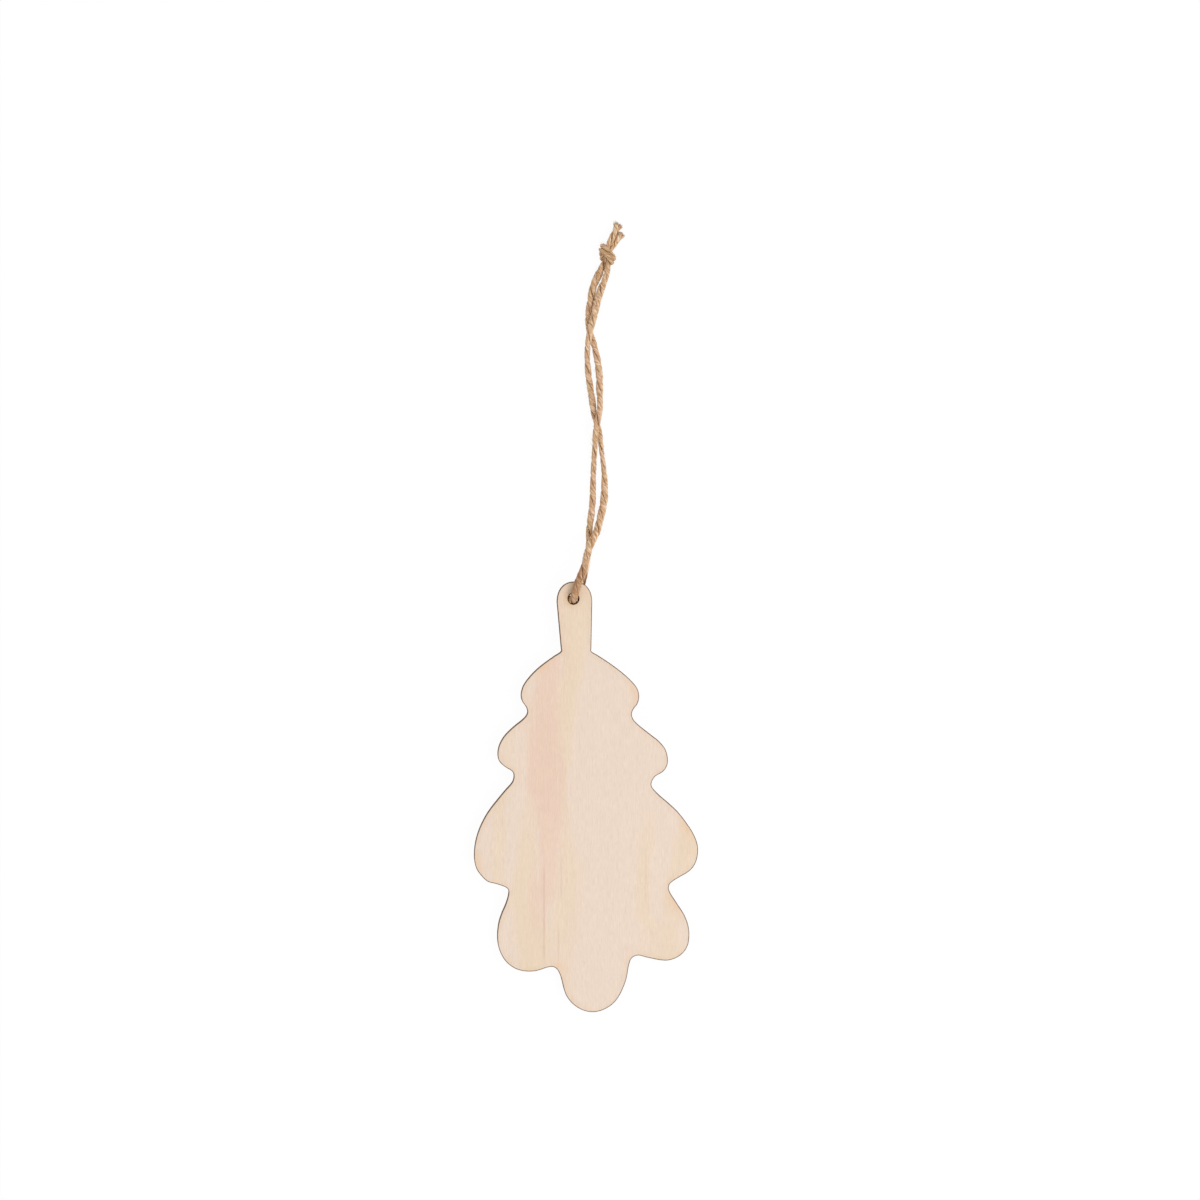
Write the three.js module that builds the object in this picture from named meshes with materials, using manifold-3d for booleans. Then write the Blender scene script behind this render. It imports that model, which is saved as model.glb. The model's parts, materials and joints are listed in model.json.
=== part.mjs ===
// Wooden leaf tag: an oak leaf cut from three-ply board, hung on a loop of two-strand jute twine.
// Millimetres. X runs to the right, Y from the bottom lobe towards the stem, Z up out of the front face.
// The tag lies on its back: the bottom lobe touches the surface and the stem lies over the twine.
import * as THREE from "three";
import { mergeVertices } from "three/addons/utils/BufferGeometryUtils.js";
import Module from "manifold-3d";

// Board
const FACE_VENEER = 0.8;
const CORE_VENEER = 1.2;
const GLUE_LINE = 0.1;

// Blade of the leaf: across its two widest lobes, and from the stem's corners down to the bottom lobe
const BLADE_WIDTH = 76.2;
const BLADE_LENGTH = 122.9;

// Stem and the hole in it, measured from the middle of the leaf
const STEM_MIDDLE_X = -3.9;
const STEM_TOP_Y = 73.3;
const STEM_WIDTH = 12;
const STEM_ROUND_HEIGHT = 7;
const STEM_FULLNESS = 0.62;
const HOLE_DIAMETER = 4;
const HOLE_X = -4.3;
const HOLE_BELOW_TOP = 5.8;

// Twine, its knot, and the space that two neighbours keep
const TWINE_DIAMETER = 2;
const CLEARANCE = 0.3;
const KNOT_LENGTH = 6.4;
const KNOT_WIDTH = 5.8;
const KNOT_HEIGHT = 4.4;
const KNOT_LUMP_RADIUS = 1.3;

// How finely round shapes are divided
const EDGE_STEPS = 3;
const HOLE_STEPS = 32;
const TWINE_SIDES = 8;
const LEG_STEP_LENGTH = 4;
const TURN_STEP_LENGTH = 1;

const BOARD = 2 * FACE_VENEER + 2 * GLUE_LINE + CORE_VENEER;
const HOLE_Y = STEM_TOP_Y - HOLE_BELOW_TOP;

// The leaf's edge below the stem, clockwise from the stem's right corner to its left corner, from the
// middle of the leaf. The rows are the lobes and the notches between them in turn. The drawn edge is
// stretched from the stem's corners to the blade's width and length.
const STEM_RIGHT_CORNER = [1.8, 49.7];
const STEM_LEFT_CORNER = [-8.4, 49.7];
const DRAWN_EDGE = [
  [[8.5, 45.3], [12.7, 42.1], [15.7, 39.3], [17.5, 36.9], [18.1, 34.1], [17.5, 31.7]],
  [[16.1, 29.8], [15.6, 28.1], [16.5, 26]],
  [[22, 21.3], [24.9, 19], [27, 16.4], [27.9, 13], [27.6, 10.6], [26.2, 8.6]],
  [[23.5, 6.9], [22.3, 4.4], [23.1, 2.6]],
  [[30.8, -4.5], [34, -8.4], [36.6, -12.4], [38, -16], [38.2, -19.1], [37.4, -22.5], [35.5, -25.1]],
  [[30.6, -28.1], [28.6, -29.7], [28.3, -31.4]],
  [[31.1, -36.3], [33.5, -40], [34.9, -43.6], [35.3, -47.2], [34.8, -50.6], [33.2, -53.2], [30.6, -55]],
  [[27.2, -55.8], [20.4, -54.6], [17.8, -54], [15.7, -54.9], [14.7, -57.4]],
  [[13.7, -62.5], [10.6, -69], [7.2, -71.9], [3.3, -73.2], [-0.4, -72.8], [-4.1, -70.7], [-6.8, -67.3]],
  [[-8.6, -61], [-9.9, -58.5], [-11.6, -57.7]],
  [[-17, -59.1], [-20.4, -59.2], [-23.9, -58.3], [-27.1, -55.9], [-29.2, -52.4], [-30.1, -48.3]],
  [[-29.5, -42], [-26.6, -34.2], [-26.5, -31.2]],
  [[-30.1, -29.5], [-33.3, -28.6], [-35.6, -26.5], [-37.3, -23.9], [-38, -19.5], [-37, -12.9], [-33.8, -5.8]],
  [[-27.8, 2], [-24.8, 5.7], [-24.8, 8.5]],
  [[-27.6, 10.5], [-29.5, 12.4], [-30, 14.6], [-29.5, 17.7], [-27.7, 20.9], [-24.6, 24]],
  [[-20.8, 27.2], [-19.9, 28.9], [-20.3, 30.6]],
  [[-21.7, 32.7], [-22.1, 34.6], [-21.5, 37.5], [-19.4, 40.7], [-15.8, 44.3]],
].flat();
const DRAWN_X = DRAWN_EDGE.map(([x]) => x);
const DRAWN_DOWN = DRAWN_EDGE.map(([, y]) => STEM_RIGHT_CORNER[1] - y);
const STRETCH_X = BLADE_WIDTH / (Math.max(...DRAWN_X) - Math.min(...DRAWN_X));
const STRETCH_Y = BLADE_LENGTH / Math.max(...DRAWN_DOWN);
const EDGE = DRAWN_EDGE.map(([x], i) => [x * STRETCH_X, STEM_RIGHT_CORNER[1] - DRAWN_DOWN[i] * STRETCH_Y]);
const LOWEST_Y = STEM_RIGHT_CORNER[1] - BLADE_LENGTH;

// The twine's middle line from the knot over the front of the stem, through the hole and back under the
// stem to the knot. The legs cross three times. Heights are above the surface that the tag lies on.
const FRONT_LEG = [
  [7.7, 180.6, 3], [7.4, 179, 2.6], [6.6, 176.2, 2], [5.4, 173.2, 1.7], [4.3, 169.5, 2],
  [2.9, 164, 2.8], [1.5, 158.3, 3.5], [0.7, 153.5, 2.6], [0.6, 149.1, 1.4], [1, 143.7, 1], [1.6, 139.6, 1],
  [2.3, 134.8, 1], [2.8, 131.1, 1], [3.9, 127.3, 1], [4.9, 122.6, 1], [5.5, 117.8, 1], [6.3, 111, 1],
  [6.5, 105.6, 1], [6.1, 99.5, 1], [5, 95, 1.6], [3.9, 90.6, 2.8], [2.4, 87.6, 3.9], [0.9, 84.5, 5],
  [0.2, 81.8, 6], [-0.3, 79.8, 6.6], [-1.1, 77, 6.9], [-2, 74.9, 6.9], [-2.5, 73.7, 6.9],
];
const BACK_LEG = [
  [-0.5, 74.2, 1], [0.4, 78.7, 1], [1.1, 84.5, 1], [1.3, 90.6, 1], [2.1, 97.1, 1], [2.5, 102.9, 1], [2.7, 111, 1],
  [3.1, 117.8, 1.7], [3.3, 122.6, 2.9], [3.9, 127.3, 3.5], [4.7, 131.1, 3], [4.9, 134.8, 2.1], [4.8, 139.6, 1.2],
  [4.7, 143.7, 1], [4, 149.1, 1], [2.7, 154.5, 1], [1.5, 158.3, 1], [1, 164, 1], [1.9, 169.5, 1],
  [2.5, 173.1, 1], [3.6, 176.1, 1], [5.2, 179.2, 1], [6.3, 181.3, 1.15],
];
const KNOT_CENTRE = [7.4, 184.6];
const KNOT_LEAN = THREE.MathUtils.degToRad(-12);
const LONG_TAIL = [[8.2, 188.3, 3.1], [9.1, 190.4, 2.6], [10.2, 192.7, 1.8], [11, 194.4, 1.3]];
const SHORT_TAIL = [[9.2, 187.5, 1.02], [10.7, 189.5, 1], [11.5, 190.6, 1], [12, 191.4, 1]];

// Under the stem the twine turns up through the hole in a half circle and comes back over the stem.
const TURN_FROM_HOLE = 2.4;
const UNDER_STEM = [[-0.6, 73.8], [-1.1, 71.7], [-2.3, 69.6]];
const OVER_STEM = [[-3.3, 71.2], [-2.7, 73.3]];

// The stem is lifted by the twine under it, so the whole leaf leans on its bottom lobe. The lift is taken
// at the lowest part of the stem that the twine reaches as it swings.
const LEAN = Math.atan((TWINE_DIAMETER + CLEARANCE) / (HOLE_Y - STEM_WIDTH / 2 - LOWEST_Y));

const wasm = await Module();
wasm.setup();

function material(color, roughness) {
  return new THREE.MeshStandardMaterial({ color, roughness, metalness: 0 });
}

const VENEER_COLOUR = material(0xecd8c4, 0.62);
const CORE_COLOUR = material(0xd9b88f, 0.7);
const GLUE_COLOUR = material(0x6e4b32, 0.55);
const TWINE_COLOUR = material(0xc8a073, 0.9);

function named(name, geometry, finish) {
  const mesh = new THREE.Mesh(geometry, finish);
  mesh.name = name;
  return mesh;
}

function solidOf(geometry) {
  const bare = geometry.clone();
  bare.deleteAttribute("normal");
  bare.deleteAttribute("uv");
  const merged = mergeVertices(bare, 1e-4);
  const mesh = new wasm.Mesh({
    numProp: 3,
    vertProperties: new Float32Array(merged.attributes.position.array),
    triVerts: new Uint32Array(merged.index.array),
  });
  return new wasm.Manifold(mesh);
}

function geometryOf(solid) {
  const mesh = solid.getMesh();
  const geometry = new THREE.BufferGeometry();
  geometry.setAttribute("position", new THREE.BufferAttribute(new Float32Array(mesh.vertProperties), 3));
  geometry.setIndex(new THREE.BufferAttribute(new Uint32Array(mesh.triVerts), 1));
  geometry.computeVertexNormals();
  return geometry;
}

// The outline runs round the rounded stem top in two curves, then down the lobes in one smooth curve.
function leafShape() {
  const left = STEM_MIDDLE_X - STEM_WIDTH / 2;
  const right = STEM_MIDDLE_X + STEM_WIDTH / 2;
  const shoulder = STEM_TOP_Y - STEM_ROUND_HEIGHT;
  const shape = new THREE.Shape();
  shape.moveTo(...STEM_LEFT_CORNER);
  shape.lineTo(left, shoulder);
  shape.bezierCurveTo(
    left, shoulder + STEM_FULLNESS * STEM_ROUND_HEIGHT,
    STEM_MIDDLE_X - (STEM_FULLNESS * STEM_WIDTH) / 2, STEM_TOP_Y,
    STEM_MIDDLE_X, STEM_TOP_Y,
  );
  shape.bezierCurveTo(
    STEM_MIDDLE_X + (STEM_FULLNESS * STEM_WIDTH) / 2, STEM_TOP_Y,
    right, shoulder + STEM_FULLNESS * STEM_ROUND_HEIGHT,
    right, shoulder,
  );
  shape.lineTo(...STEM_RIGHT_CORNER);
  const points = [STEM_RIGHT_CORNER, ...EDGE, STEM_LEFT_CORNER];
  const edge = new THREE.CatmullRomCurve3(points.map(([x, y]) => new THREE.Vector3(x, y, 0)), false);
  const smooth = edge.getPoints((points.length - 1) * EDGE_STEPS).slice(1, -1);
  smooth.forEach(({ x, y }) => shape.lineTo(x, y));
  return shape;
}

function withHole(shape) {
  const hole = new THREE.Path();
  for (let i = 0; i < HOLE_STEPS; i += 1) {
    const angle = (2 * Math.PI * i) / HOLE_STEPS;
    const x = HOLE_X + (HOLE_DIAMETER / 2) * Math.cos(angle);
    const y = HOLE_Y + (HOLE_DIAMETER / 2) * Math.sin(angle);
    if (i === 0) {
      hole.moveTo(x, y);
    } else {
      hole.lineTo(x, y);
    }
  }
  shape.holes = [hole];
  return shape;
}

const LEAF_SHAPE = withHole(leafShape());

function ply(name, bottom, thickness, finish) {
  const geometry = new THREE.ExtrudeGeometry(LEAF_SHAPE, {
    depth: thickness,
    bevelEnabled: false,
    curveSegments: 8,
  });
  const mesh = named(name, geometry, finish);
  mesh.position.z = bottom;
  return mesh;
}

function leaf() {
  const group = new THREE.Group();
  const layers = [
    ["back_veneer", FACE_VENEER, VENEER_COLOUR],
    ["back_glue_line", GLUE_LINE, GLUE_COLOUR],
    ["core_veneer", CORE_VENEER, CORE_COLOUR],
    ["front_glue_line", GLUE_LINE, GLUE_COLOUR],
    ["front_veneer", FACE_VENEER, VENEER_COLOUR],
  ];
  let bottom = 0;
  layers.forEach(([name, thickness, finish]) => {
    group.add(ply(name, bottom, thickness, finish));
    bottom += thickness;
  });
  group.rotation.x = LEAN;
  group.position.set(0, (BOARD / 2) * Math.sin(LEAN), -LOWEST_Y * Math.sin(LEAN));
  return group;
}

function twineSection() {
  const section = new THREE.Shape();
  for (let i = 0; i < TWINE_SIDES; i += 1) {
    const angle = (2 * Math.PI * (i + 0.5)) / TWINE_SIDES;
    const x = (TWINE_DIAMETER / 2) * Math.cos(angle);
    const y = (TWINE_DIAMETER / 2) * Math.sin(angle);
    if (i === 0) {
      section.moveTo(x, y);
    } else {
      section.lineTo(x, y);
    }
  }
  return section;
}

function twine(name, points, stepLength) {
  const path = new THREE.CatmullRomCurve3(points.map(([x, y, z]) => new THREE.Vector3(x, y, z)), false);
  const geometry = new THREE.ExtrudeGeometry(twineSection(), {
    steps: Math.max(2, Math.round(path.getLength() / stepLength)),
    extrudePath: path,
  });
  return named(name, geometry, TWINE_COLOUR);
}

// The half circle through the hole starts in the direction of the leg under the stem and ends in that of
// the leg over it.
function turnPoints() {
  const low = TWINE_DIAMETER / 2;
  const high = FRONT_LEG[FRONT_LEG.length - 1][2];
  const radius = (high - low) / 2;
  const from = directionFromHole(UNDER_STEM[UNDER_STEM.length - 1]);
  const to = directionFromHole(OVER_STEM[0]);
  const arc = [0, 30, 60, 90, 120, 150, 180].map((degrees) => {
    const angle = THREE.MathUtils.degToRad(degrees);
    const out = TURN_FROM_HOLE - radius * Math.sin(angle);
    const towards = from.clone().lerp(to, degrees / 180).normalize();
    return [HOLE_X + out * towards.x, HOLE_Y + out * towards.y, low + radius * (1 - Math.cos(angle))];
  });
  const under = UNDER_STEM.slice(0, -1).map(([x, y]) => [x, y, low]);
  return [...under, ...arc, ...OVER_STEM.map(([x, y]) => [x, y, high])];
}

function directionFromHole([x, y]) {
  return new THREE.Vector2(x - HOLE_X, y - HOLE_Y).normalize();
}

// One overhand knot tied in both legs at once: a core with slanted wraps round it and a lump at each side.
function knot() {
  const wrap = (tilt, along, size) => {
    const ring = new THREE.TorusGeometry(size, TWINE_DIAMETER / 2, 8, 14);
    ring.rotateX(Math.PI / 2);
    ring.scale(1, 1, KNOT_HEIGHT / (2 * size + TWINE_DIAMETER));
    ring.rotateZ(tilt);
    ring.translate(0, along, 0);
    return solidOf(ring);
  };
  const lump = (x, y, z) => {
    const ball = new THREE.SphereGeometry(KNOT_LUMP_RADIUS, 8, 6);
    ball.translate(x, y, z);
    return solidOf(ball);
  };
  const wrapRadius = (KNOT_WIDTH - TWINE_DIAMETER) / 2;
  const core = new THREE.SphereGeometry(1, 12, 8);
  core.scale(KNOT_WIDTH / 2.5, KNOT_LENGTH / 2, KNOT_HEIGHT / 2.3);
  const body = solidOf(core)
    .add(wrap(-0.65, KNOT_LENGTH * 0.16, wrapRadius))
    .add(wrap(-0.65, -KNOT_LENGTH * 0.16, wrapRadius))
    .add(lump(-KNOT_WIDTH * 0.3, KNOT_LENGTH * 0.3, 0.1))
    .add(lump(KNOT_WIDTH * 0.3, -KNOT_LENGTH * 0.3, -0.1));
  const mesh = named("knot", geometryOf(body), TWINE_COLOUR);
  mesh.rotation.z = KNOT_LEAN;
  mesh.position.set(...KNOT_CENTRE, KNOT_HEIGHT / 2);
  return mesh;
}

const tag = new THREE.Group();
tag.add(leaf());
tag.add(twine("twine_front_leg", FRONT_LEG, LEG_STEP_LENGTH));
tag.add(twine("twine_through_hole", turnPoints(), TURN_STEP_LENGTH));
tag.add(twine("twine_back_leg", BACK_LEG, LEG_STEP_LENGTH));
tag.add(knot());
tag.add(twine("twine_long_tail", LONG_TAIL, LEG_STEP_LENGTH / 2));
tag.add(twine("twine_short_tail", SHORT_TAIL, LEG_STEP_LENGTH / 2));

export default tag;
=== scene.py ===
"""Looks of the wooden leaf tag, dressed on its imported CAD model. Lengths here are in millimetres, and turn
into Blender's metres where a mesh, lamp or camera is made."""

import json
import math

import bpy
import numpy as np
from mathutils import Matrix, Vector
from mathutils.geometry import delaunay_2d_cdt


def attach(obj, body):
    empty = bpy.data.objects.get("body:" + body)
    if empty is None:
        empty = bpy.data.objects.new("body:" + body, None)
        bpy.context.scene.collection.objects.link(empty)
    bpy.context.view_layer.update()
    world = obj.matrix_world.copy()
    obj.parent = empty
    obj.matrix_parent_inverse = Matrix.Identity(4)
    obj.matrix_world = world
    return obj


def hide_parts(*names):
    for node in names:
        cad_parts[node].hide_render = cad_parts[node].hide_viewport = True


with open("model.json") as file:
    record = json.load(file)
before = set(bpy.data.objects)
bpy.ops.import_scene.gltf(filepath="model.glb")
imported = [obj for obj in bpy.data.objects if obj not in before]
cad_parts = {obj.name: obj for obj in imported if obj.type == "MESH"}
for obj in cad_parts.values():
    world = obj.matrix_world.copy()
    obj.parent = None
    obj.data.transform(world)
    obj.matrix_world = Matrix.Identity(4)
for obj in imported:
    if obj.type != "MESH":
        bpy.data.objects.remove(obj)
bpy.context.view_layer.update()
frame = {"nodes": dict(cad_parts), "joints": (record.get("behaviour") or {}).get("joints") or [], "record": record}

MM = 0.001
SEED = 11

# Camera: above the tag, a little to the left of it
LENS = 100.0
SENSOR = 36.0
FRAME_WIDTH = 408.0
FRAME_MIDDLE = (4.85, 67.0, 3.0)
VIEW_TILT = math.radians(2.9)
VIEW_SIDE = math.radians(172)

# Twine: two plies laid in an S
TWINE_DIAMETER = 2.0
LAY_LENGTH = 11.0
PLY_OUT = 0.48
PLY_THICK = 0.55
PLY_WIDE = 0.83
FIBRE_TURN = 0.52
RING_STEP = 0.32
SOFTEN_ROUNDS = 8
SOFTEN_SHARE = 0.25
RING_SIDES = 30
FRAY_LENGTH = 3.6

# How much plumper it is over the stem and in the hole, and how that fades out with distance from the hole's
# middle, and with height
STEM_SWELL = 0.12
STEM_FADE = (13, 3.5)
STEM_RISE = (2, 3.5)
HOLE_SWELL = 0.5
HOLE_FADE = (2.6, 1.4)
HOLE_RISE = (5.4, 3.8)

# The gap that it and its fibres keep from the hole's wall and the front face, the one from the back face,
# and how far from the hole the fibres keep them
BOARD_GAP = 0.06
UNDER_GAP = 0.24
STEM_REACH = 12.0

# Middle line of the twine, as the CAD source has it: x, y and the height above the surface
FRONT_LEG = [
    (7.7, 180.6, 3), (7.4, 179, 2.6), (6.6, 176.2, 2), (5.4, 173.2, 1.7), (4.3, 169.5, 2),
    (2.9, 164, 2.8), (1.5, 158.3, 3.5), (0.7, 153.5, 2.6), (0.6, 149.1, 1.4), (1, 143.7, 1), (1.6, 139.6, 1),
    (2.3, 134.8, 1), (2.8, 131.1, 1), (3.9, 127.3, 1), (4.9, 122.6, 1), (5.5, 117.8, 1), (6.3, 111, 1),
    (6.5, 105.6, 1), (6.1, 99.5, 1), (5, 95, 1.6), (3.9, 90.6, 2.8), (2.4, 87.6, 3.9), (0.9, 84.5, 5),
    (0.2, 81.8, 6), (-0.3, 79.8, 6.6), (-1.1, 77, 6.9), (-2, 74.9, 6.9), (-2.5, 73.7, 6.9),
]
BACK_LEG = [
    (-0.5, 74.2, 1), (0.4, 78.7, 1), (1.1, 84.5, 1), (1.3, 90.6, 1), (2.1, 97.1, 1), (2.5, 102.9, 1),
    (2.7, 111, 1), (3.1, 117.8, 1.7), (3.3, 122.6, 2.9), (3.9, 127.3, 3.5), (4.7, 131.1, 3),
    (4.9, 134.8, 2.1), (4.8, 139.6, 1.2), (4.7, 143.7, 1), (4, 149.1, 1), (2.7, 154.5, 1),
    (1.5, 158.3, 1), (1, 164, 1), (1.9, 169.5, 1), (2.5, 173.1, 1), (3.6, 176.1, 1), (5.2, 179.2, 1),
    (6.3, 181.3, 1.15),
]
LONG_TAIL = [(8.2, 188.3, 3.1), (9.1, 190.4, 2.6), (10.2, 192.7, 1.8), (11, 194.4, 1.3)]
SHORT_TAIL = [(9.2, 187.5, 1.02), (10.7, 189.5, 1), (11.5, 190.6, 1), (12, 191.4, 1)]
UNDER_STEM = [(-0.6, 73.8), (-1.1, 71.7), (-2.3, 69.6)]
OVER_STEM = [(-3.3, 71.2), (-2.7, 73.3)]
TURN_FROM_HOLE = 2.4
TURN_REACH = 1.6
TURN_LOW = 1.0
TURN_HIGH = 6.9
HOLE = np.array(frame["joints"][0]["pos_m"]) / MM

# Thick and thin places of the two legs: how far along the leaf, and the share of the usual thickness
FRONT_GIRTH = (
    (90, 1.2), (97, 1.24), (105, 1.2), (108, 1), (112, 0.8), (119, 0.78), (124, 1), (134, 1.08),
    (143, 1.1), (149, 0.92), (156, 1), (164, 1.12), (170, 1.24), (174, 1.16), (178, 0.96), (182, 1),
)
BACK_GIRTH = (
    (74, 0.85), (79, 1.02), (84, 1.04), (90, 1.1), (97, 1.1), (102, 1.06), (108, 0.92), (118, 0.86),
    (124, 1), (136, 0.97), (139, 1.14), (147, 1.16), (152, 1), (164, 1.07), (170, 1.24), (178, 1.28),
    (182, 1),
)

# Along the leaf: where the back leg is pale as a painted highlight, how far up its right side has painted
# shade, and where the front leg turns darker with soot towards the hole
PAINTED_HIGHLIGHT_FROM = 70.0
PAINTED_HIGHLIGHT_TO = 83.0
PAINTED_SHADE_TO = 78.0
LEG_FADE = 3.0
CLEAN_FROM = 85.0
SOOTY_TO = 76.0

# Overhand knot: the middle line of the pair of strands, and the side on which the front strand lies, both
# in the knot's own frame of across, along and up
KNOT_MIDDLE = (7.4, 184.5, 2.5)
KNOT_LEAN = math.radians(-12)
KNOT_SCALE = np.array([1.18, 0.76, 0.95])
KNOT_TIGHT = 0.74
KNOT_INNER = 2.6
KNOT_OUTER = 4.6
# Painted shade in the knot, as a share of the twine's darkening colour
KNOT_PAINTED_SHADE = 0.35
STRAND_APART = 0.68
STRAND_GAP = 1.36
STRAND_STEP = 0.3
SETTLE_ROUNDS = 160
PUSH_SHARE = 0.22
SMOOTH_SHARE = 0.18
HELD_POINTS = 5
NEIGHBOUR_GAPS = 1.9
KNOT_PAIR = [
    ((0.35, -3.0, -0.2), (0.9, 0, 0.4)),
    ((0.1, -1.4, -0.2), (1, 0, 0.1)),
    ((-0.4, 0.2, -0.5), (1, 0.1, 0)),
    ((-1.3, 1.9, -0.5), (0.8, 0.6, 0)),
    ((-3.05, 2.75, 0.1), (-0.2, 0.95, -0.3)),
    ((-2.75, 2.5, 1.3), (0.15, 0.95, 0.1)),
    ((-0.6, 1.1, 1.9), (0.75, 0.65, 0)),
    ((0.9, -0.6, 1.7), (0.75, 0.65, 0)),
    ((2.4, -2.4, 0.9), (0.6, 0.7, 0.4)),
    ((2.9, -3.1, -0.3), (0.3, 0.9, 0.3)),
    ((1.5, -2.6, -1.6), (0.1, 1, 0)),
    ((-0.4, -1.4, -1.9), (0.1, 1, 0)),
    ((-1.7, -0.6, -1.3), (0, 1, 0.3)),
    ((-1.95, 0.1, -0.1), (-0.3, 0.9, 0.3)),
    ((-1.3, 0.5, 0.7), (-0.6, 0.8, 0.1)),
    ((0.1, 1.2, 0.6), (-0.8, 0.6, 0.1)),
    ((0.5, 2.6, 0.4), (-0.9, 0.4, 0.3)),
]


def add_camera():
    data = bpy.data.cameras.new("camera")
    data.lens = LENS
    data.sensor_width = SENSOR
    data.clip_start = 0.05
    data.clip_end = 20
    camera = bpy.data.objects.new("camera", data)
    out = math.sin(VIEW_TILT)
    back = Vector((out * math.cos(VIEW_SIDE), out * math.sin(VIEW_SIDE), math.cos(VIEW_TILT)))
    right = Vector((0, 1, 0)).cross(back).normalized()
    camera.location = (Vector(FRAME_MIDDLE) + back * FRAME_WIDTH * LENS / SENSOR) * MM
    camera.rotation_mode = "QUATERNION"
    camera.rotation_quaternion = Matrix((right, back.cross(right), back)).transposed().to_quaternion()
    bpy.context.scene.collection.objects.link(camera)
    bpy.context.scene.camera = camera


def norm(vectors):
    return np.linalg.norm(vectors, axis=-1)


def unit(vectors):
    return vectors / norm(vectors)[..., None]


def smoothstep(start, end, value):
    """0 before the start, 1 past the end, whichever of them is higher, and eased in between."""
    t = np.clip((value - start) / (end - start), 0, 1)
    return t * t * (3 - 2 * t)


def resample(points, step):
    """Points at even steps along a line of points."""
    along = np.concatenate([[0], np.cumsum(norm(np.diff(points, axis=0)))])
    count = max(2, round(along[-1] / step))
    places = np.linspace(0, along[-1], count + 1)
    return np.column_stack([np.interp(places, along, column) for column in points.T])


def curve_through(knots, step, closed=False):
    """Points at even steps along a centripetal Catmull-Rom spline through the knots."""
    knots = np.asarray(knots, float)
    if closed:
        knots = np.vstack([knots[-1:], knots, knots[:2]])
    else:
        knots = np.vstack([2 * knots[0] - knots[1], knots, 2 * knots[-1] - knots[-2]])
    fine = []
    for a, b, c, d in zip(knots, knots[1:], knots[2:], knots[3:]):
        t1 = norm(b - a) ** 0.5
        t2 = t1 + norm(c - b) ** 0.5
        t3 = t2 + norm(d - c) ** 0.5
        t = np.linspace(t1, t2, 16, endpoint=False)[:, None]
        ab = (a * (t1 - t) + b * t) / t1
        bc = (b * (t2 - t) + c * (t - t1)) / (t2 - t1)
        cd = (c * (t3 - t) + d * (t - t2)) / (t3 - t2)
        abc = (ab * (t2 - t) + bc * t) / t2
        bcd = (bc * (t3 - t) + cd * (t - t1)) / (t3 - t1)
        fine.append((abc * (t2 - t) + bcd * (t - t1)) / (t2 - t1))
    fine.append(knots[-2:-1])
    points = resample(np.vstack(fine), step)
    return points[:-1] if closed else points


class Parts:
    """Points, faces and point values of one mesh, gathered part by part."""

    def __init__(self):
        self.points = []
        self.faces = []
        self.values = {}
        self.count = 0

    def add(self, points, faces, **values):
        points = np.asarray(points, float).reshape(-1, 3)
        self.points.append(points)
        self.faces.extend([tuple(self.count + i for i in face) for face in faces])
        self.count += len(points)
        for key, value in values.items():
            value = np.asarray(value, float)
            if value.ndim == 0:
                value = np.full(len(points), float(value))
            self.values.setdefault(key, []).append(value)

    def build(self, name, material):
        mesh = bpy.data.meshes.new(name)
        mesh.from_pydata((np.vstack(self.points) * MM).tolist(), [], self.faces)
        for key, pieces in self.values.items():
            data = np.concatenate(pieces).astype(np.float32)
            vector = data.ndim == 2
            layer = mesh.attributes.new(key, "FLOAT_VECTOR" if vector else "FLOAT", "POINT")
            layer.data.foreach_set("vector" if vector else "value", data.ravel())
        mesh.polygons.foreach_set("use_smooth", [True] * len(mesh.polygons))
        mesh.materials.append(material)
        mesh.update()
        piece = bpy.data.objects.new(name, mesh)
        bpy.context.scene.collection.objects.link(piece)
        return piece


def bands(rings, sides):
    """Quads between each ring of points and the next one."""
    for start in range(0, (rings - 1) * sides, sides):
        for i in range(start, start + sides):
            j = start + (i + 1 - start) % sides
            yield i, j, j + sides, i + sides


def tube_faces(rings, sides):
    """Faces of a tube of rings, with a point after the rings for each closed end."""
    faces = list(bands(rings, sides))
    first, last = rings * sides, rings * sides + 1
    for i in range(sides):
        j = (i + 1) % sides
        faces.append((first, j, i))
        faces.append((last, (rings - 1) * sides + i, (rings - 1) * sides + j))
    return faces


# Cord

def turn_points():
    """The twine's half circle through the hole, from over the stem to under it."""
    radius = (TURN_HIGH - TURN_LOW) / 2
    centre = HOLE[:2]
    start = unit(np.array(UNDER_STEM[-1]) - centre)
    end = unit(np.array(OVER_STEM[0]) - centre)
    points = []
    for degrees in range(180, -1, -30):
        angle = math.radians(degrees)
        out = TURN_FROM_HOLE - radius * math.sin(angle)
        x, y = centre + out * unit(start + (end - start) * degrees / 180)
        points.append((x, y, TURN_LOW + radius * (1 - math.cos(angle))))
    return points


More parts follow.
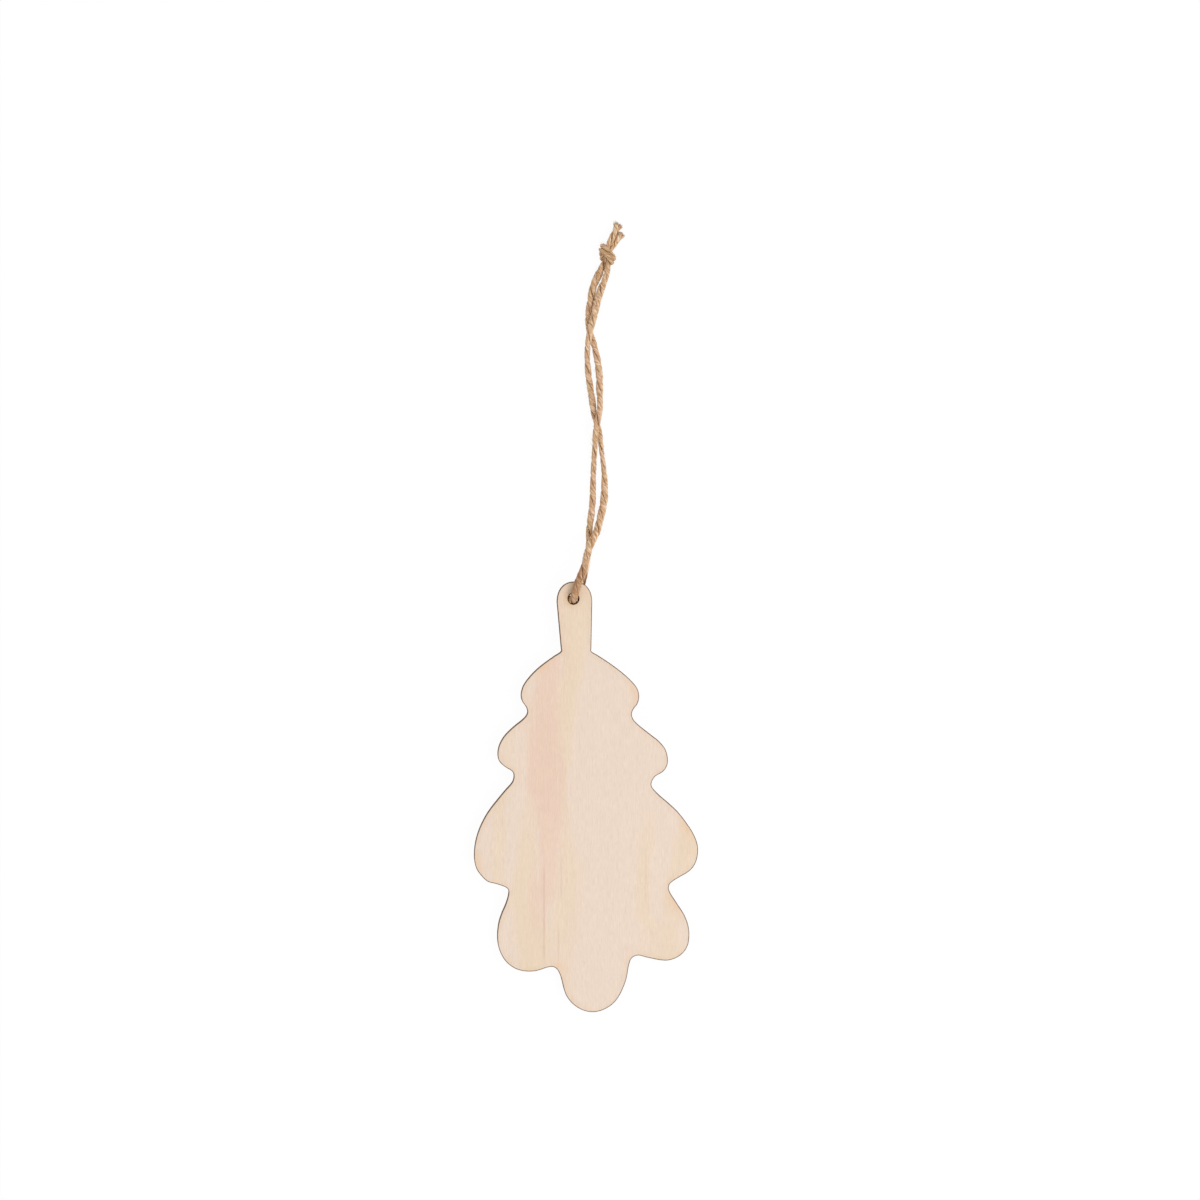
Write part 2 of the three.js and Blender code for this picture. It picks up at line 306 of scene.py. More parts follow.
def settle(strands, gap):
    """Presses strands apart until no two stretches lie closer than the gap. Their ends are held."""
    sizes = [len(s) for s in strands]
    points = np.vstack(strands)
    strand = np.repeat(np.arange(len(strands)), sizes)
    place = np.concatenate([np.arange(n) for n in sizes])
    from_end = np.concatenate([np.minimum(np.arange(n), np.arange(n)[::-1]) for n in sizes])
    held = from_end < HELD_POINTS
    step = norm(strands[0][1] - strands[0][0])
    near = (strand[:, None] == strand) & (abs(place[:, None] - place) * step < NEIGHBOUR_GAPS * gap)
    for _ in range(SETTLE_ROUNDS):
        away = points[:, None] - points
        distance = norm(away) + 1e-9
        push = np.where(near | (distance > gap), 0, (gap - distance) / distance)
        moved = points + PUSH_SHARE * (away * push[..., None]).sum(1)
        for s in range(len(strands)):
            inner = np.flatnonzero(strand == s)[1:-1]
            moved[inner] += SMOOTH_SHARE * (points[inner - 1] + points[inner + 1] - 2 * points[inner])
        moved[:, 2] = np.maximum(moved[:, 2], gap / 2)
        points = np.where(held[:, None], points, moved)
    return [points[strand == s] for s in range(len(strands))]


def knot_strands():
    """The front and the back strand through the overhand knot, from the legs to the tails."""
    cos, sin = math.cos(KNOT_LEAN), math.sin(KNOT_LEAN)
    turn = np.array([[cos, -sin, 0], [sin, cos, 0], [0, 0, 1]])
    strands = []
    for side, leg, tail in ((1, FRONT_LEG[1::-1], LONG_TAIL[:2]), (-1, BACK_LEG[-2:], SHORT_TAIL[:2])):
        pair = [
            np.array(middle) * KNOT_SCALE + side * STRAND_APART * unit(np.array(aside, float))
            for middle, aside in KNOT_PAIR
        ]
        within = np.array(pair) @ turn.T + KNOT_MIDDLE
        strands.append(curve_through([*leg, *within, *tail], STRAND_STEP))
    return settle(strands, STRAND_GAP)


def twine_route():
    """The whole twine's middle line, from the long tail's tip to the short tail's tip."""
    front, back = knot_strands()
    under = [(x, y, TURN_LOW) for x, y in UNDER_STEM[:-1]][::-1]
    over = [(x, y, TURN_HIGH) for x, y in OVER_STEM][::-1]
    knots = [
        *LONG_TAIL[:1:-1], *front[::-1], *FRONT_LEG[2:], *over[1:], *turn_points(), *under,
        *BACK_LEG[:-2], *back, *SHORT_TAIL[2:],
    ]
    path = curve_through(knots, RING_STEP)
    for _ in range(SOFTEN_ROUNDS):
        path[1:-1] += SOFTEN_SHARE * (path[:-2] + path[2:] - 2 * path[1:-1])
    return path


def steady_frames(path):
    """Two directions across a path at each place, which don't spin round it."""
    ahead = unit(np.gradient(path, axis=0))
    side = np.empty_like(path)
    side[0] = unit(np.cross(ahead[0], (0, 0, 1)))
    for i in range(1, len(path)):
        side[i] = unit(side[i - 1] - ahead[i] * (side[i - 1] @ ahead[i]))
    return side, np.cross(ahead, side)


def wander(rng, along, wavelength):
    """A smooth random value from about -1 to 1 for each place along a line."""
    count = int(along[-1] / wavelength) + 4
    values = rng.uniform(-1, 1, count)
    place = along / wavelength
    low = place.astype(int)
    t = smoothstep(0, 1, place - low)
    return values[low] * (1 - t) + values[low + 1] * t


def leg_girth(path, middle):
    """The share of the usual thickness at each place of the path, front half first."""
    front = np.interp(path[:, 1], *zip(*FRONT_GIRTH))
    back = np.interp(path[:, 1], *zip(*BACK_GIRTH))
    return np.where(np.arange(len(path)) < middle, front, back)


def plumpness(path):
    """How plump the twine is at each place of its path, and how far in the hole that place is."""
    in_hole = smoothstep(*HOLE_FADE, norm(path[:, :2] - HOLE[:2])) * smoothstep(*HOLE_RISE, path[:, 2])
    over_stem = smoothstep(*STEM_FADE, norm(path - HOLE)) * smoothstep(*STEM_RISE, path[:, 2])
    return 1 + np.maximum(STEM_SWELL * over_stem, HOLE_SWELL * in_hole), in_hole


def keep_off_board(rings, path):
    """Presses the twine off the hole's wall, and off the stem's faces."""
    local = rings @ TILT
    height = local[..., 2]
    away = local[..., :2] - HOLE_MIDDLE
    distance = norm(away)
    within = np.clip(height, LEAF_BOTTOM, LEAF_TOP)
    room = HOLE_RADIUS - BOARD_GAP + cut_shift(HOLE_LOOP, within) + 2 * abs(height - within)
    turning = norm(path[:, :2] - HOLE[:2]) < TURN_REACH
    pressed = np.where(turning[:, None], np.minimum(1, room / distance), 1)
    on_stem = (distance > HOLE_RADIUS) & (local[..., 1] < OUTLINE[:, 1].max())
    side = share_up(path @ TILT[:, 2])[:, None]
    local[..., :2] = HOLE_MIDDLE + away * pressed[..., None]
    lifted = np.where(on_stem & (side > 1), np.maximum(height, LEAF_TOP + BOARD_GAP), height)
    local[..., 2] = np.where(on_stem & (side < 0), np.minimum(lifted, LEAF_BOTTOM - UNDER_GAP), lifted)
    return local @ TILT.T


def in_stem(points):
    """True for each point that lies close to the stem's wood, at rest or as the loop swings."""
    local = points @ TILT
    away = norm(local[:, :2] - HOLE_MIDDLE)
    height = local[:, 2]
    level = (height > LEAF_BOTTOM - UNDER_GAP) & (height < LEAF_TOP + BOARD_GAP)
    return level & (away > HOLE_RADIUS - HOLE_LEAN - BOARD_GAP) & (away < STEM_REACH)


def paleness(path, right, behind, soot_and_shade):
    """How pale each point of a ply is, with a painted highlight on a stretch of the back leg, less its darkening
    by soot and painted shade, and how much painted shade each place has on its right side.
    """
    y = path[:, 1:2]
    there = smoothstep(PAINTED_HIGHLIGHT_FROM - LEG_FADE, PAINTED_HIGHLIGHT_FROM, y) * behind[:, None]
    there = there * smoothstep(PAINTED_HIGHLIGHT_TO, PAINTED_HIGHLIGHT_TO - LEG_FADE, y)
    painted_shade = there * smoothstep(PAINTED_SHADE_TO, PAINTED_SHADE_TO - LEG_FADE, y)
    # A stretch of the back leg made pale as a painted highlight, less so on its right side where painted shade
    # goes
    pale = 1.3 * there * (1 - smoothstep(0, 0.2, right) * painted_shade)
    return pale - soot_and_shade[:, None], painted_shade


def fibre_ridges(fibre, along, rng):
    """How far each point of a ply stands out or in, as its fibres bunch up and wander."""
    out = np.zeros(fibre.shape)
    for lobes, height in ((4, 0.05), (7, 0.05), (11, 0.035), (15, 0.02)):
        drift = 1.6 * wander(rng, along, 5)
        swell = 0.6 + 0.4 * wander(rng, along, 3)
        out += height * swell[:, None] * np.cos(lobes * fibre + drift[:, None])
    return out


def ply_rings(path, middle_row, which, rng):
    """Rings of points round one of the twine's two plies, and what its material reads from them."""
    along = np.arange(len(path)) * norm(path[1] - path[0])
    side, other = steady_frames(path)
    in_knot = smoothstep(KNOT_OUTER, KNOT_INNER, norm(path - KNOT_MIDDLE))
    tight = (1 - (1 - KNOT_TIGHT) * in_knot) * leg_girth(path, middle_row)
    fray = smoothstep(FRAY_LENGTH, 0, np.minimum(along, along[-1] - along))
    plump, in_hole = plumpness(path)
    lay = -2 * math.pi * along / LAY_LENGTH + 0.25 * wander(rng, along, 14) + math.pi * which
    outward = np.cos(lay)[:, None] * side + np.sin(lay)[:, None] * other
    middle = path + (PLY_OUT * tight * plump * (1 + 0.2 * fray))[:, None] * outward
    ply_ahead = unit(np.gradient(middle, axis=0))
    across = unit(np.cross(ply_ahead, outward))
    outward = np.cross(across, ply_ahead)
    angle = 2 * math.pi * np.arange(RING_SIDES) / RING_SIDES
    fibre = angle + FIBRE_TURN * along[:, None]
    ridges = 1 + fibre_ridges(fibre, along, rng)
    girth = 1 + 0.06 * wander(rng, along, 6) + 0.04 * wander(rng, along, 1.6)
    size = (girth * tight * (1 + 0.15 * fray))[:, None] * ridges
    thick = PLY_THICK * size * np.cos(angle)
    wide = PLY_WIDE * size * plump[:, None] * np.sin(angle)
    rings = middle[:, None] + thick[..., None] * outward[:, None] + wide[..., None] * across[:, None]
    rings = keep_off_board(rings, path)
    rings[..., 2] = np.maximum(rings[..., 2], 0)
    # How far out each point lies in the twine; the material paints shade where this is low, between the plies
    depth = norm(rings - path[:, None]) / (TWINE_DIAMETER / 2 * tight[:, None])
    lines = np.stack([0.5 * np.cos(fibre), 0.5 * np.sin(fibre), along[:, None] + 0 * fibre], axis=2)
    lines[..., 2] += 400 * which
    right = rings[..., 0] - path[:, None, 0]
    behind = np.arange(len(path)) > middle_row
    # Darkening: soot on the front leg towards the hole, soot and painted shade in the hole, painted shade in the
    # knot
    soot_and_shade = np.where(behind, in_hole, smoothstep(CLEAN_FROM, SOOTY_TO, path[:, 1]))
    pale, painted_shade = paleness(path, right, behind, np.maximum(soot_and_shade, KNOT_PAINTED_SHADE * in_knot))
    # Painted shade on the right side of that stretch, by lowering its depth
    depth = depth - 0.6 * painted_shade * smoothstep(0.05, 0.3, right)
    return {
        "rings": rings, "middle": middle, "ahead": ply_ahead, "depth": depth, "lines": lines, "pale": pale,
    }


def add_ply(parts, ply, start, stop):
    rings = ply["rings"][start:stop]
    ends = ply["middle"][[start, stop - 1]]
    end_lines = ply["lines"][[start, stop - 1]].mean(1)
    parts.add(
        np.vstack([rings.reshape(-1, 3), ends]),
        tube_faces(len(rings), RING_SIDES),
        depth=np.concatenate([ply["depth"][start:stop].ravel(), [0.5, 0.5]]),
        lines=np.vstack([ply["lines"][start:stop].reshape(-1, 3), end_lines]),
        pale=np.concatenate([ply["pale"][start:stop].ravel(), [0, 0]]),
    )


HAIR_RINGS = 5
HAIR_SIDES = 3
HAIR_REACH = 2.3
HAIR_FACES = tube_faces(HAIR_RINGS, HAIR_SIDES)
TUFT_FIBRES = 130
FUZZ_FIBRES = 620
FUZZ_LONGEST = 3.6
STRAY_RADIUS = 0.1
STRAY_PALE = 1.3
STRAY_FROM_TWINE = 1.6


def add_hair(parts, rng, path, start, direction, bend, length, radius, pale):
    """One loose fibre: a thin tapered tube that bends away, but stays near the twine."""
    t = np.linspace(0, 1, HAIR_RINGS)[:, None]
    far = HAIR_REACH + 1
    while far > HAIR_REACH:
        line = start + length * (direction * t + bend * t * t)
        far = norm(path - line[:, None]).min(axis=1).max()
        length *= 0.85
    line[:, 2] = np.maximum(line[:, 2], radius)
    if in_stem(line).any():
        return
    ahead = unit(np.gradient(line, axis=0))
    side = unit(np.cross(ahead, (0.31, 0.17, 0.94)))
    other = np.cross(ahead, side)
    rings = []
    for i in range(HAIR_RINGS):
        r = radius * (1 - 0.6 * t[i, 0])
        for k in range(HAIR_SIDES):
            a = 2 * math.pi * k / HAIR_SIDES
            rings.append(line[i] + r * (math.cos(a) * side[i] + math.sin(a) * other[i]))
    tint = rng.uniform(-3, 3, 3) + (0, 0, 900)
    parts.add(
        np.vstack([rings, line[:1], line[-1:]]),
        HAIR_FACES,
        depth=1.0,
        lines=np.tile(tint, (len(rings) + 2, 1)),
        pale=pale,
    )


def add_fuzz(parts, path, plies, start, stop, rng):
    """Loose fibres all along the twine."""
    for _ in range(FUZZ_FIBRES):
        ply = plies[rng.integers(2)]
        i = rng.integers(start + 2, stop - 2)
        j = rng.integers(RING_SIDES)
        if ply["depth"][i, j] < 0.8:
            continue
        root = ply["rings"][i, j]
        outward = unit(root - ply["middle"][i])
        lift = rng.uniform(0.15, 0.9)
        direction = unit(ply["ahead"][i] * rng.choice((-1, 1)) * (1 - lift * 0.5) + outward * lift)
        sideways = unit(np.cross(direction, rng.normal(size=3)))
        length = min(rng.exponential(1.0) + 0.5, 1.5 / lift, FUZZ_LONGEST)
        bend = sideways * rng.uniform(0.1, 0.5) - outward * rng.uniform(0, 0.4)
        radius = rng.uniform(0.02, 0.038)
        root = root - 0.06 * outward
        add_hair(parts, rng, path, root, direction, bend, length, radius, rng.uniform(0.2, 1))


def add_tuft(parts, path, plies, end, rng):
    """The brush of fibres that each ply ends in, at the path's first place or its last, -1."""
    for ply in plies:
        ahead = ply["ahead"][end] * (1 if end else -1)
        middle = ply["middle"][end]
        for _ in range(TUFT_FIBRES):
            j = rng.integers(RING_SIDES)
            off = (ply["rings"][end, j] - middle) * math.sqrt(rng.uniform(0.02, 0.95))
            back = ahead * rng.uniform(0.3, 0.9)
            direction = unit(ahead + (middle + off - path[end]) * rng.uniform(-0.3, 0.7))
            bend = rng.normal(size=3) * 0.12
            length = rng.uniform(0.8, 1.3)
            radius = rng.uniform(0.07, 0.12)
            add_hair(parts, rng, path, middle + off - back, direction, bend, length, radius, 0.1)


STRAY_FIBRES = (
    ((3.8, 143.4, 2.05), (1.55, 1.4, -0.05)),
    ((0.3, 91.2, 2.0), (1.5, 0.15, -0.2)),
    ((0.2, 89.6, 2.0), (1.1, 1.2, 0.1)),
    ((5.5, 117.3, 2.0), (0.9, 2.4, -0.2)),
    ((4.95, 174.2, 2.75), (1.55, 4.8, 0.15)),
    ((2.3, 164.6, 3.8), (2.6, 9.4, -1.05)),
)


def add_stray_fibres(parts, rng, path):
    """Pale fibres that have come loose and lie across this half of the twine."""
    sag = np.array((0, 0, -0.01))
    for start, reach in STRAY_FIBRES:
        start, reach = np.array(start), np.array(reach)
        if norm(path - start).min() < STRAY_FROM_TWINE:
            length = norm(reach)
            add_hair(parts, rng, path, start, reach / length, sag, length, STRAY_RADIUS, STRAY_PALE)


def add_twine(material):
    """The twine, which is one length, in two halves that meet in the hole."""
    path = twine_route()
    rng = np.random.default_rng(SEED)
    middle = int(np.argmin(norm(path - HOLE)))
    plies = [ply_rings(path, middle, which, rng) for which in range(2)]
    for name, start, stop, end in (
        ("twine_front_half", 0, middle + 1, 0), ("twine_back_half", middle, len(path), -1),
    ):
        parts = Parts()
        for ply in plies:
            add_ply(parts, ply, start, stop)
        add_tuft(parts, path[start:stop], plies, end, rng)
        add_fuzz(parts, path[start:stop], plies, start, stop, rng)
        add_stray_fibres(parts, rng, path[start:stop])
        half = parts.build(name, material)
        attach(half, "twine_loop")
    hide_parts("twine_front_leg", "twine_through_hole", "knot", "twine_long_tail")
    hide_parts("twine_back_leg", "twine_short_tail")


# Leaf

SCORCH_RINGS = (1.5, 1.0, 0.65, 0.4, 0.24, 0.13)
CORE_BACK = 0.045
GLUE_BACK = 0.08
OUTLINE_STEP = 0.4
HOLE_SIDES = 120
STRAIGHT_FROM = 8.0
GRID_STEP = 2.4
GRID_CLEAR = 0.8
RIM_DROP = 0.12
WALL_EDGE = 0.02

# A laser's cut is widest in front: how far the outline leans back there, and the hole closes in behind
KERF_LEAN = 0.03
HOLE_LEAN = 0.45

face_mount = next(m for m in frame["record"]["mounts"] if m["name"] == "front_face")
LEAN = math.asin(-face_mount["axis"][1])
TILT = np.array([
    [1, 0, 0],
    [0, math.cos(LEAN), -math.sin(LEAN)],
    [0, math.sin(LEAN), math.cos(LEAN)],
])


def node_points(node):
    """A CAD node's points in the leaf's own flat frame."""
    mesh = frame["nodes"][node].data
    flat = np.empty(len(mesh.vertices) * 3, np.float32)
    mesh.vertices.foreach_get("co", flat)
    return flat.reshape(-1, 3).astype(float) / MM @ TILT


def face_loops(node):
    """The outline and the hole of a CAD ply's upper face, with the wood on their left."""
    points = node_points(node)
    top = points[:, 2].max() - 0.01
    names = {}
    key = [names.setdefault((round(x, 3), round(y, 3)), len(names)) for x, y, _ in points]
    flat = np.array(list(names))
    edges = set()
    for face in frame["nodes"][node].data.polygons:
        corners = list(face.vertices)
        if all(points[c][2] > top for c in corners):
            edges.update((key[a], key[b]) for a, b in zip(corners, corners[1:] + corners[:1]))
    following = {a: b for a, b in edges if (b, a) not in edges}
    loops = []
    while following:
        at = next(iter(following))
        loop = []
        while at in following:
            loop.append(at)
            at = following.pop(at)
        loops.append(flat[loop])
    loops.sort(key=len)
    return loops[-1], loops[0]


def smooth_outline(loop):
    """The CAD's faceted outline as a fine smooth one. Long straight sides get points first."""
    dense = []
    for a, b in zip(loop, np.roll(loop, -1, axis=0)):
        length = norm(b - a)
        count = round(length) if length > STRAIGHT_FROM else 1
        dense.extend(a + (b - a) * i / count for i in range(count))
    return curve_through(dense, OUTLINE_STEP, closed=True)


def fine_circle(loop):
    """The circle through the CAD's hole, run the same way round."""
    middle = loop.mean(axis=0)
    radius = norm(loop - middle).max()
    angle = -2 * math.pi * np.arange(HOLE_SIDES) / HOLE_SIDES
    return middle, radius, middle + radius * np.column_stack([np.cos(angle), np.sin(angle)])


def inset(loop, distance):
    """A loop moved towards the wood on its left."""
    ahead = unit(np.roll(loop, -1, axis=0) - np.roll(loop, 1, axis=0))
    return loop + distance * np.column_stack([-ahead[:, 1], ahead[:, 0]])


def inside(points, loop):
    """True for each point that lies inside a loop."""
    ax, ay = loop.T
    bx, by = np.roll(loop, -1, axis=0).T
    x, y = points[:, :1], points[:, 1:]
    crosses = (ay > y) != (by > y)
    rise = np.where(by == ay, 1, by - ay)
    return (crosses & (x < ax + (y - ay) * (bx - ax) / rise)).sum(1) % 2 == 1


def distance_to(points, loop):
    """Each point's distance from the nearest point of a loop."""
    return np.array([norm(loop - p).min() for p in points])


LEAF_TOP = node_points("front_veneer")[:, 2].max()
LEAF_BOTTOM = node_points("back_veneer")[:, 2].min()
OUTLINE, HOLE_LOOP = face_loops("front_veneer")
OUTLINE = smooth_outline(OUTLINE)
HOLE_MIDDLE, HOLE_RADIUS, HOLE_LOOP = fine_circle(HOLE_LOOP)


def cap():
    """Triangles over a ply's face, from its innermost rings inwards, and the points in between."""
    border = [inset(loop, SCORCH_RINGS[0]) for loop in (OUTLINE, HOLE_LOOP)]
    xs, ys = (np.arange(*ends, GRID_STEP) for ends in zip(OUTLINE.min(axis=0), OUTLINE.max(axis=0)))
    grid = np.array([(x + GRID_STEP / 2 * (j % 2), y) for j, y in enumerate(ys) for x in xs])
    grid = grid[inside(grid, border[0]) & ~inside(grid, border[1])]
    clear = np.minimum(distance_to(grid, border[0]), distance_to(grid, border[1]))
    grid = grid[clear > GRID_CLEAR]
    points = np.vstack([*border, grid])
    edges = []
    start = 0
    for loop in border:
        edges.extend((start + i, start + (i + 1) % len(loop)) for i in range(len(loop)))
        start += len(loop)
    _, _, found, origins, _, _ = delaunay_2d_cdt([Vector(p) for p in points], edges, [], 0, 1e-6)
    faces = [tuple(origins[i][0] for i in face) for face in found]
    middles = np.array([points[list(face)].mean(axis=0) for face in faces])
    wanted = inside(middles, border[0]) & ~inside(middles, border[1])
    return grid, [face for face, keep in zip(faces, wanted) if keep]


GRID, CAP_FACES = cap()
GRID_EDGE = distance_to(GRID, OUTLINE)


def ply_profile(low, high, eased_top, eased_bottom, back):
    """Rings of a ply's edge as (distance from the outline, height, part of the wall), from the upper face
    round to the lower one. An eased edge is the rounded, scorched rim of an outer face."""
    rim = ((0.06, 0.02, 0.15), (0.02, 0.055, 0.6))
    rings = []
    if eased_top:
        rings += [(d, high, 0) for d in SCORCH_RINGS]
        rings += [(d, high - drop, wall) for d, drop, wall in rim]
        rings += [(0, high - RIM_DROP, 1)]
    else:
        rings += [(SCORCH_RINGS[0], high, 0), (back + WALL_EDGE, high, 1), (back, high - WALL_EDGE, 1)]
    if eased_bottom:
        rings += [(0, low + RIM_DROP, 1)]
        rings += [(d, low + drop, wall) for d, drop, wall in rim[::-1]]
        rings += [(d, low, 0) for d in SCORCH_RINGS[::-1]]
    else:
        rings += [(back, low + WALL_EDGE, 1), (back + WALL_EDGE, low, 1), (SCORCH_RINGS[0], low, 0)]
    return rings


def share_up(height):
    """0 at the leaf's back face, 1 at its front face."""
    return (height - LEAF_BOTTOM) / (LEAF_TOP - LEAF_BOTTOM)


def cut_shift(loop, height):
    """How far into the wood the cut lies from its CAD line at a height."""
    if loop is OUTLINE:
        return KERF_LEAN * share_up(height)
    return -HOLE_LEAN * (1 - share_up(height))


def ply_points(profile):
    """A ply's points, ring by ring round the outline and the hole, then its two faces' inner points, with
    each one's distance from the outline and its part of the wall."""
    points, edge, wall = [], [], []
    for loop in (OUTLINE, HOLE_LOOP):
        for away, height, side in profile:
            ring = inset(loop, away + cut_shift(loop, height))
            points.append(np.column_stack([ring, np.full(len(loop), height)]))
            edge.append(np.full(len(loop), away) if loop is OUTLINE else distance_to(ring, OUTLINE))
            wall.append(np.full(len(loop), side))
    for height in (profile[0][1], profile[-1][1]):
        points.append(np.column_stack([GRID, np.full(len(GRID), height)]))
        edge.append(GRID_EDGE)
        wall.append(np.zeros(len(GRID)))
    return np.vstack(points), np.concatenate(edge), np.concatenate(wall)


def ply_faces(rings):
    """A ply's faces: the bands round the outline and the hole, the upper face and the lower one."""
    faces = []
    first, last = [], []
    count = 0
    for loop in (OUTLINE, HOLE_LOOP):
        size = len(loop)
        faces.extend((count + a, count + d, count + c, count + b) for a, b, c, d in bands(rings, size))
        first.extend(range(count, count + size))
        count += size * rings
        last.extend(range(count - size, count))
    upper = [*first, *range(count, count + len(GRID))]
    lower = [*last, *range(count + len(GRID), count + 2 * len(GRID))]
    faces.extend(tuple(upper[i] for i in face) for face in CAP_FACES)
    faces.extend(tuple(lower[i] for i in face[::-1]) for face in CAP_FACES)
    return faces


def add_leaf(materials):
    """The five layers as closed solids."""
    for name, node, eased_top, eased_bottom, back in (
        ("front_veneer_wood", "front_veneer", True, False, 0),
        ("front_glue_film", "front_glue_line", False, False, GLUE_BACK),
        ("core_veneer_wood", "core_veneer", False, False, CORE_BACK),
        ("back_glue_film", "back_glue_line", False, False, GLUE_BACK),
        ("back_veneer_wood", "back_veneer", False, True, 0),
    ):
        z = node_points(node)[:, 2]
        profile = ply_profile(z.min(), z.max(), eased_top, eased_bottom, back)
        points, edge, wall = ply_points(profile)
        hole_here = HOLE_RADIUS + cut_shift(HOLE_LOOP, points[:, 2])
        hole = abs(norm(points[:, :2] - HOLE_MIDDLE) - hole_here)
        slot = "glue_line" if "glue" in node else node
        parts = Parts()
        parts.add(points @ TILT.T, ply_faces(len(profile)), edge_mm=edge, hole_mm=hole, wall=wall)
        piece = parts.build(name, materials[slot])
        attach(piece, "leaf")
        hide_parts(node)


# Materials

def tone(red, green, blue):
    """A colour as it looks on a screen, from 0 to 255, as the shaders want it."""
    linear = []
    for value in (red, green, blue):
        share = value / 255
        linear.append(share / 12.92 if share <= 0.04045 else ((share + 0.055) / 1.055) ** 2.4)
    return (*linear, 1)


class Value:
    """A node's output, with which sums can be written plainly."""

    def __init__(self, graph, socket):
        self.graph = graph
        self.socket = socket

    def __add__(self, other):
        return self.graph.math("ADD", self, other)

    def __sub__(self, other):
        return self.graph.math("SUBTRACT", self, other)

    def __mul__(self, other):
        return self.graph.math("MULTIPLY", self, other)

    def __truediv__(self, other):
        return self.graph.math("DIVIDE", self, other)


class Graph:
    """The nodes of a material or a world, with short calls for the kinds that are used here."""

    def __init__(self, name, group=bpy.data.materials):
        self.owner = group.new(name)
        self.owner.use_nodes = True
        self.tree = self.owner.node_tree
        self.tree.nodes.clear()

    def make(self, kind, inputs, **settings):
        made = self.tree.nodes.new("ShaderNode" + kind)
        for key, value in settings.items():
            setattr(made, key, value)
        for key, value in inputs.items():
            if isinstance(value, Value):
                self.tree.links.new(value.socket, made.inputs[key])
            else:
                made.inputs[key].default_value = value
        return made

    def node(self, kind, inputs, output=0, **settings):
        return Value(self, self.make(kind, inputs, **settings).outputs[output])

    def surface(self, inputs, kind="BsdfPrincipled", output="OutputMaterial"):
        """Ends the nodes in one shader, and returns the material or the world."""
        self.make(output, {"Surface": self.node(kind, inputs)})
        return self.owner

    def value(self, name, output="Fac"):
        return self.node("Attribute", {}, output, attribute_name=name)

    def place(self):
        """The point's place on the piece in millimetres."""
        return self.stretch(self.node("TexCoord", {}, "Object"), (1 / MM,) * 3, (0, 0, 0))

    def stretch(self, vector, scale, offset):
        return self.node("Mapping", {"Vector": vector, "Scale": scale, "Location": offset})

    def noise(self, vector, scale, detail=2.0, rough=0.5, offset=(0, 0, 0)):
        vector = self.stretch(vector, scale, offset)
        return self.node("TexNoise", {"Vector": vector, "Scale": 1.0, "Detail": detail, "Roughness": rough})

    def math(self, operation, a, b=0.0):
        return self.node("Math", {0: a, 1: b}, operation=operation)

    def larger(self, a, b):
        return self.math("MAXIMUM", a, b)

    def fade(self, value, start, end, low=0.0, high=1.0):
        """The same as smoothstep, from low to high."""
        inputs = {"Value": value, "From Min": start, "From Max": end, "To Min": low, "To Max": high}
        return self.node("MapRange", inputs, interpolation_type="SMOOTHSTEP")

    def ramp(self, value, stops, mode="EASE"):
        made = self.make("ValToRGB", {"Fac": value})
        ramp = made.color_ramp
        ramp.interpolation = mode
        while len(ramp.elements) < len(stops):
            ramp.elements.new(0.5)
        for element, (position, _) in zip(ramp.elements, stops):
            element.position = position
        for element, (_, colour) in zip(ramp.elements, stops):
            element.color = colour
        return Value(self, made.outputs["Color"])

    def mix(self, share, a, b, blend="MIX"):
        return self.node("Mix", {0: share, 6: a, 7: b}, 2, data_type="RGBA", blend_type=blend)

    def bump(self, height, distance, strength=1.0):
        return self.node("Bump", {"Height": height, "Distance": distance, "Strength": strength})

    def figure(self, x, y, ragged, rows):
        """The share of a long soft figure in the grain at each place of the leaf."""
        stops = []
        for place, middle, half, strength in rows:
            shape = (0.5 + middle / FIGURE_WIDTH, half / FIGURE_HALF_WIDTH, strength, 1)
            stops.append((0.5 + place / FIGURE_LENGTH, shape))
        shape = self.ramp(y / FIGURE_LENGTH + 0.5, stops)
        middle, half, strength = (self.node("SeparateColor", {0: shape}, i) for i in range(3))
        away = self.math("ABSOLUTE", x - middle * FIGURE_WIDTH + FIGURE_WIDTH / 2)
        away = away / (half * FIGURE_HALF_WIDTH) + ragged
        return self.fade(away, 1.55, 0.45) * strength


PLAIN = tone(239, 219, 202)
PINK = tone(238, 209, 189)
YELLOW = tone(238, 216, 191)
WARM_STAIN = tone(222, 186, 140)
SMOKE = tone(236, 196, 158)
CHAR = tone(96, 70, 50)
# The hole's wall: painted golden light where it faces the lamp, and char with painted shade elsewhere
HOLE_PAINTED_LIGHT_GOLD = tone(226, 182, 132)
HOLE_CHAR_AND_PAINTED_SHADE = tone(88, 54, 30)
RIM = tone(102, 70, 46)
GROWTH_DARK = tone(190, 140, 108)
GROWTH_WARM = tone(226, 196, 164)
WALL_TONES = ((0.25, tone(78, 55, 39)), (0.5, tone(112, 82, 58)), (0.78, tone(158, 122, 88)))
CORE_TONES = ((0.3, tone(58, 40, 29)), (0.48, tone(88, 62, 43)), (0.68, tone(128, 95, 66)))
GLUE_TONES = ((0.3, tone(40, 27, 20)), (0.7, tone(74, 51, 36)))
JUTE_TONES = (
    (0.32, tone(104, 58, 27)), (0.41, tone(174, 126, 81)), (0.52, tone(222, 181, 139)),
    (0.63, tone(255, 242, 219)),
)
JUTE_PINK = tone(226, 176, 148)
JUTE_STRAW = tone(204, 170, 118)
# Pale loose fibres, and the painted highlight on a stretch of the back leg
JUTE_PALE_AND_HIGHLIGHT = tone(250, 226, 198)
# Darkening from soot near the hole, and painted shade in the hole and the knot
JUTE_SOOT_AND_SHADE = tone(222, 210, 200)
# Painted shade in the grooves between the plies, multiplied into the jute's colour
PAINTED_SHADE_BETWEEN_PLIES = (0.41, 0.29, 0.19, 1)
FIGURE_LENGTH = 150.0
FIGURE_WIDTH = 80.0
FIGURE_HALF_WIDTH = 10.0

